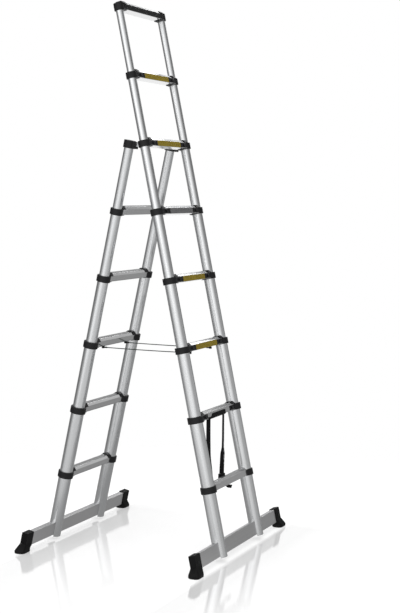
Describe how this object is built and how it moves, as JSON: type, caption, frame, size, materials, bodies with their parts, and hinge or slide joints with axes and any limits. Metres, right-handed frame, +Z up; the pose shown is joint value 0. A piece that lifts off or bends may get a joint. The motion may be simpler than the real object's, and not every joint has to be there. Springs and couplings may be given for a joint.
{
  "type": "telescopic step ladder",
  "caption": "Free-standing aluminium step ladder whose two hinged sections telescope, with latch collars, wide stabiliser bars and rubber feet.",
  "frame": {"origin": "on the floor, midway between the four feet", "axes": "+X along the rungs, -Y out of the climbing section, +Z up"},
  "size_m": [0.96, 0.8496, 2.3007],
  "materials": {
    "satin_aluminium": "drawn tube, satin anodised",
    "rung_aluminium": "extruded, satin anodised, ribbed tread",
    "bar_aluminium": "extruded flat box section, satin grey",
    "black_plastic": "moulded, fine grain",
    "button_plastic": "moulded, smooth",
    "black_rubber": "moulded, matt",
    "hinge_metal": "cast and machined",
    "zinc_steel": "zinc plated",
    "coated_cable": "steel rope in a dark coating",
    "webbing": "woven flat webbing"
  },
  "bodies": {
    "front_stage_1": {"front_tube_1": "satin_aluminium", "front_rung_1": "rung_aluminium", "front_top_caps": "black_plastic"},
    "front_stage_2": {"front_tube_2": "satin_aluminium", "front_rung_2": "rung_aluminium", "front_collars_2": "black_plastic"},
    "front_stage_3": {"front_tube_3": "satin_aluminium", "front_rung_3": "rung_aluminium", "front_collars_3": "black_plastic", "hinge_tongues": "hinge_metal"},
    "front_stage_4": {"front_tube_4": "satin_aluminium", "front_rung_4": "rung_aluminium", "front_collars_4": "black_plastic"},
    "front_stage_5": {"front_tube_5": "satin_aluminium", "front_rung_5": "rung_aluminium", "front_collars_5": "black_plastic"},
    "front_stage_6": {"front_tube_6": "satin_aluminium", "front_rung_6": "rung_aluminium", "front_collars_6": "black_plastic", "front_cable_eyes": "zinc_steel", "spreader_cables": "coated_cable"},
    "front_base": {"front_tube_7": "satin_aluminium", "front_rung_7": "rung_aluminium", "front_rung_8": "rung_aluminium", "front_collars_base": "black_plastic", "front_bar": "bar_aluminium", "front_feet": "black_rubber", "front_rivets": "zinc_steel", "storage_strap": "webbing"},
    "rear_stage_1": {"rear_tube_1": "satin_aluminium", "rear_hinge_heads": "black_plastic", "hinge_pins": "zinc_steel"},
    "rear_stage_2": {"rear_tube_2": "satin_aluminium", "rear_rung_1": "rung_aluminium", "rear_collars_1": "black_plastic"},
    "rear_stage_3": {"rear_tube_3": "satin_aluminium", "rear_rung_2": "rung_aluminium", "rear_collars_2": "black_plastic"},
    "rear_stage_4": {"rear_tube_4": "satin_aluminium", "rear_rung_3": "rung_aluminium", "rear_collars_3": "black_plastic", "rear_cable_eyes": "zinc_steel"},
    "rear_base": {"rear_tube_5": "satin_aluminium", "rear_rung_4": "rung_aluminium", "rear_rung_5": "rung_aluminium", "rear_collars_base": "black_plastic", "rear_bar": "bar_aluminium", "rear_feet": "black_rubber", "rear_rivets": "zinc_steel"},
    "front_button_2": {"front_buttons_2": "button_plastic"},
    "front_button_3": {"front_buttons_3": "button_plastic"},
    "front_button_4": {"front_buttons_4": "button_plastic"},
    "front_button_5": {"front_buttons_5": "button_plastic"},
    "front_button_6": {"front_buttons_6": "button_plastic"},
    "front_button_7": {"front_buttons_7": "button_plastic"},
    "rear_button_1": {"rear_buttons_1": "button_plastic"},
    "rear_button_2": {"rear_buttons_2": "button_plastic"},
    "rear_button_3": {"rear_buttons_3": "button_plastic"},
    "rear_button_4": {"rear_buttons_4": "button_plastic"}
  },
  "joints": [
    {"name": "front_slide_6", "type": "slide", "parent": "front_base", "child": "front_stage_6", "axis": [0, 0.2096, 0.9778], "range_m": [-0.23, 0]},
    {"name": "front_slide_5", "type": "slide", "parent": "front_stage_6", "child": "front_stage_5", "axis": [0, 0.2096, 0.9778], "range_m": [-0.23, 0], "deforming": ["spreader_cables"]},
    {"name": "front_slide_4", "type": "slide", "parent": "front_stage_5", "child": "front_stage_4", "axis": [0, 0.2096, 0.9778], "range_m": [-0.23, 0], "deforming": ["spreader_cables"]},
    {"name": "front_slide_3", "type": "slide", "parent": "front_stage_4", "child": "front_stage_3", "axis": [0, 0.2096, 0.9778], "range_m": [-0.23, 0], "deforming": ["spreader_cables"]},
    {"name": "front_slide_2", "type": "slide", "parent": "front_stage_3", "child": "front_stage_2", "axis": [0, 0.2096, 0.9778], "range_m": [-0.23, 0]},
    {"name": "front_slide_1", "type": "slide", "parent": "front_stage_2", "child": "front_stage_1", "axis": [0, 0.2096, 0.9778], "range_m": [-0.23, 0]},
    {"name": "rear_fold", "type": "hinge", "parent": "front_stage_3", "child": "rear_stage_1", "pos_m": [0, 0.00665, 1.69802], "axis": [1, 0, 0], "range_deg": [-24.2, 0], "deforming": ["spreader_cables", "storage_strap"]},
    {"name": "rear_slide_2", "type": "slide", "parent": "rear_stage_1", "child": "rear_stage_2", "axis": [0, -0.2096, 0.9778], "range_m": [0, 0.23], "deforming": ["spreader_cables"]},
    {"name": "rear_slide_3", "type": "slide", "parent": "rear_stage_2", "child": "rear_stage_3", "axis": [0, -0.2096, 0.9778], "range_m": [0, 0.23], "deforming": ["spreader_cables"]},
    {"name": "rear_slide_4", "type": "slide", "parent": "rear_stage_3", "child": "rear_stage_4", "axis": [0, -0.2096, 0.9778], "range_m": [0, 0.23], "deforming": ["spreader_cables"]},
    {"name": "rear_slide_5", "type": "slide", "parent": "rear_stage_4", "child": "rear_base", "axis": [0, -0.2096, 0.9778], "range_m": [0, 0.23]},
    {"name": "front_press_2", "type": "slide", "parent": "front_stage_2", "child": "front_button_2", "axis": [0, 0.9778, -0.2096], "range_m": [0, 0.004], "stiffness_N_per_m": 400, "springref_m": -0.001},
    {"name": "front_press_3", "type": "slide", "parent": "front_stage_3", "child": "front_button_3", "axis": [0, 0.9778, -0.2096], "range_m": [0, 0.004], "stiffness_N_per_m": 400, "springref_m": -0.001},
    {"name": "front_press_4", "type": "slide", "parent": "front_stage_4", "child": "front_button_4", "axis": [0, 0.9778, -0.2096], "range_m": [0, 0.004], "stiffness_N_per_m": 400, "springref_m": -0.001},
    {"name": "front_press_5", "type": "slide", "parent": "front_stage_5", "child": "front_button_5", "axis": [0, 0.9778, -0.2096], "range_m": [0, 0.004], "stiffness_N_per_m": 400, "springref_m": -0.001},
    {"name": "front_press_6", "type": "slide", "parent": "front_stage_6", "child": "front_button_6", "axis": [0, 0.9778, -0.2096], "range_m": [0, 0.004], "stiffness_N_per_m": 400, "springref_m": -0.001},
    {"name": "front_press_7", "type": "slide", "parent": "front_base", "child": "front_button_7", "axis": [0, 0.9778, -0.2096], "range_m": [0, 0.004], "stiffness_N_per_m": 400, "springref_m": -0.001},
    {"name": "rear_press_1", "type": "slide", "parent": "rear_stage_2", "child": "rear_button_1", "axis": [0, -0.9778, -0.2096], "range_m": [0, 0.004], "stiffness_N_per_m": 400, "springref_m": -0.001},
    {"name": "rear_press_2", "type": "slide", "parent": "rear_stage_3", "child": "rear_button_2", "axis": [0, -0.9778, -0.2096], "range_m": [0, 0.004], "stiffness_N_per_m": 400, "springref_m": -0.001},
    {"name": "rear_press_3", "type": "slide", "parent": "rear_stage_4", "child": "rear_button_3", "axis": [0, -0.9778, -0.2096], "range_m": [0, 0.004], "stiffness_N_per_m": 400, "springref_m": -0.001},
    {"name": "rear_press_4", "type": "slide", "parent": "rear_base", "child": "rear_button_4", "axis": [0, -0.9778, -0.2096], "range_m": [0, 0.004], "stiffness_N_per_m": 400, "springref_m": -0.001}
  ]
}
